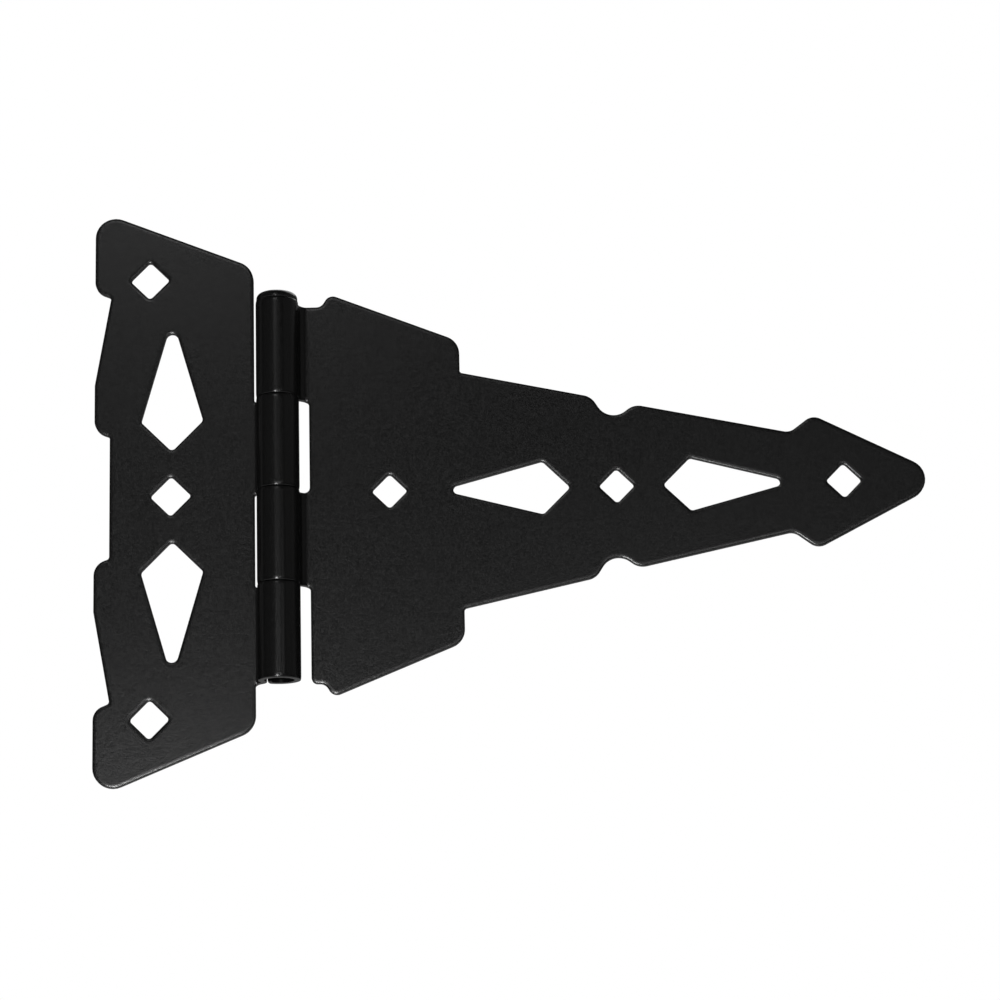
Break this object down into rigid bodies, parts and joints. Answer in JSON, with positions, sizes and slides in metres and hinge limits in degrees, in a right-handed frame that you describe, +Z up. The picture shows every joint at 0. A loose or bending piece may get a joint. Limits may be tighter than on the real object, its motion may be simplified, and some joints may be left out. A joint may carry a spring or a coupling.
{
  "type": "tee hinge",
  "caption": "Flat black ornamental tee hinge: pierced crossbar leaf and long spear-pointed strap leaf on a pin through rolled knuckles, fixed with square-necked bolts.",
  "frame": {"origin": "on the mounting plane, straight behind the pin axis, level with the middle bolt holes", "axes": "+Z up along the pin axis towards the pin head, +X along the strap to its point, +Y out of the backs of the leaves into the gate and post"},
  "size_m": [0.2615, 0.0135, 0.184],
  "materials": {
    "powder_coat": "satin black powder coat with a fine grain"
  },
  "bodies": {
    "post": {"post_leaf": "powder_coat", "hinge_pin": "powder_coat"},
    "strap": {"strap_leaf": "powder_coat"}
  },
  "joints": [
    {"name": "pin_hinge", "type": "hinge", "parent": "post", "child": "strap", "pos_m": [0, -0.00675, 0], "axis": [0, 0, -1], "range_deg": [-90, 180]}
  ]
}
